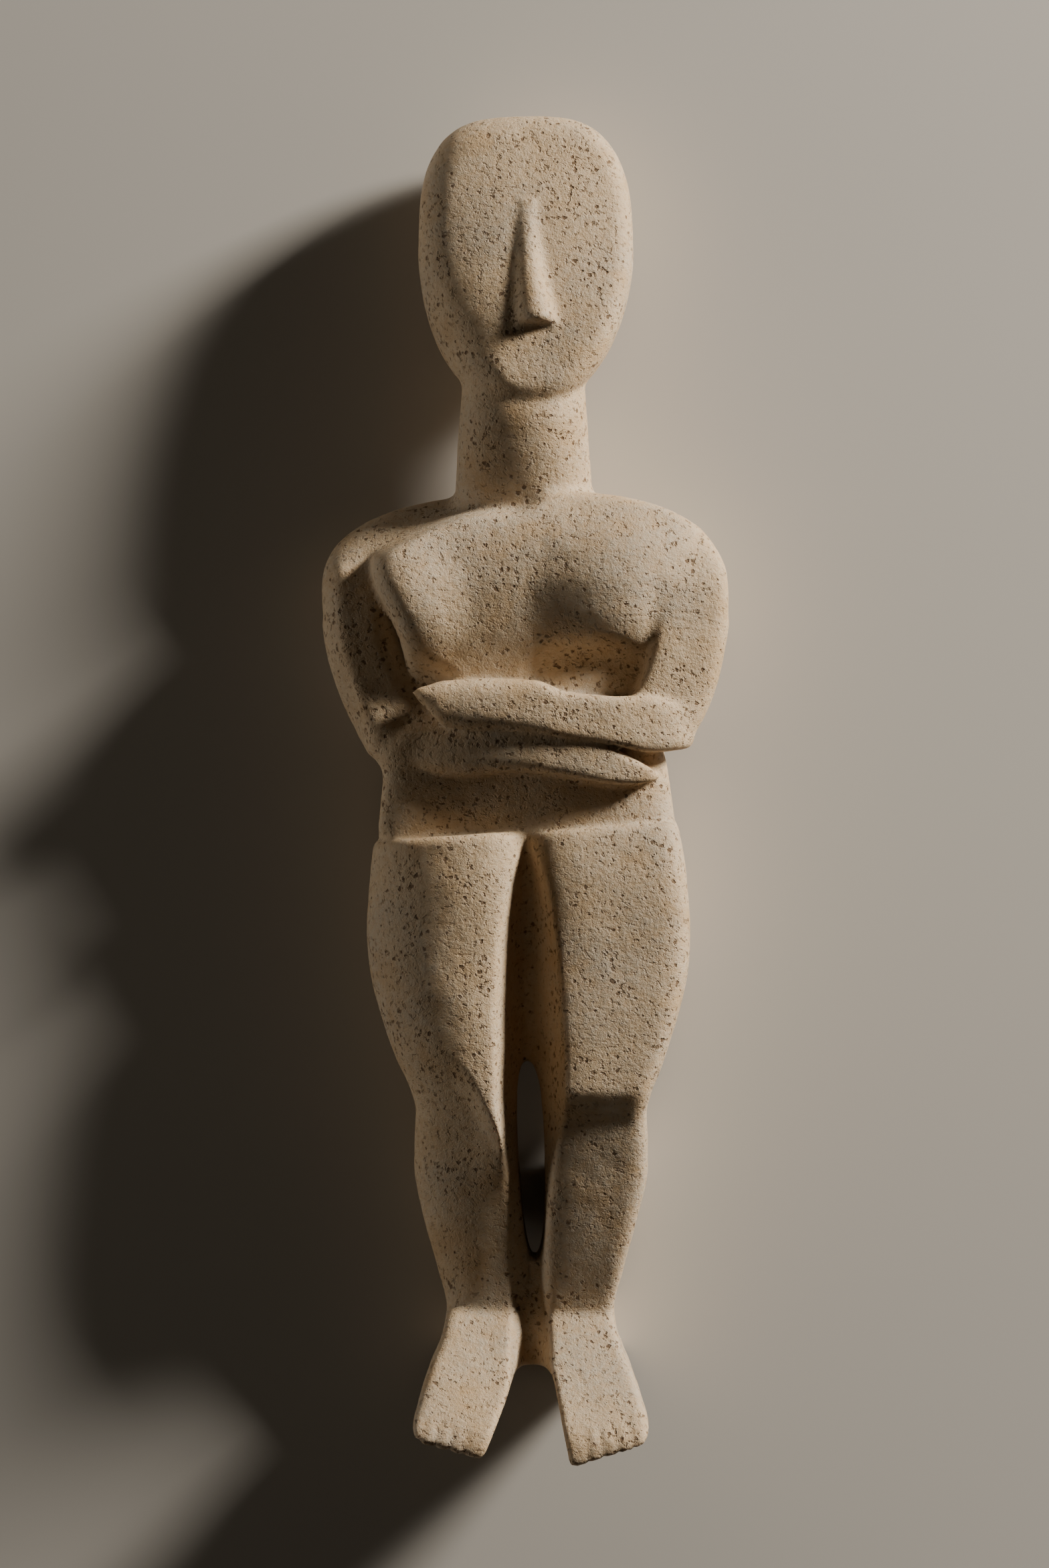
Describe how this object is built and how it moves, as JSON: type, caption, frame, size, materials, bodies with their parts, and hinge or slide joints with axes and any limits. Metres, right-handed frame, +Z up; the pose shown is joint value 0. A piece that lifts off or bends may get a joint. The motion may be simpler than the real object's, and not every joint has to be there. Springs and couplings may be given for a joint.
{
  "type": "figurine",
  "caption": "Stone figure of a standing woman with folded arms, a wedge nose on a bare shield face and sloping feet, laid on its back.",
  "frame": {"origin": "centre of the bounding box on the plane the figure lies on", "axes": "+Y along the figure from feet to crown, +Z up out of its front, +X towards its left arm"},
  "size_m": [0.1218, 0.401, 0.053],
  "materials": {
    "marble": "weathered cream marble, finely pitted, brown in the recesses"
  },
  "bodies": {
    "root": {"figurine": "marble"}
  },
  "joints": []
}
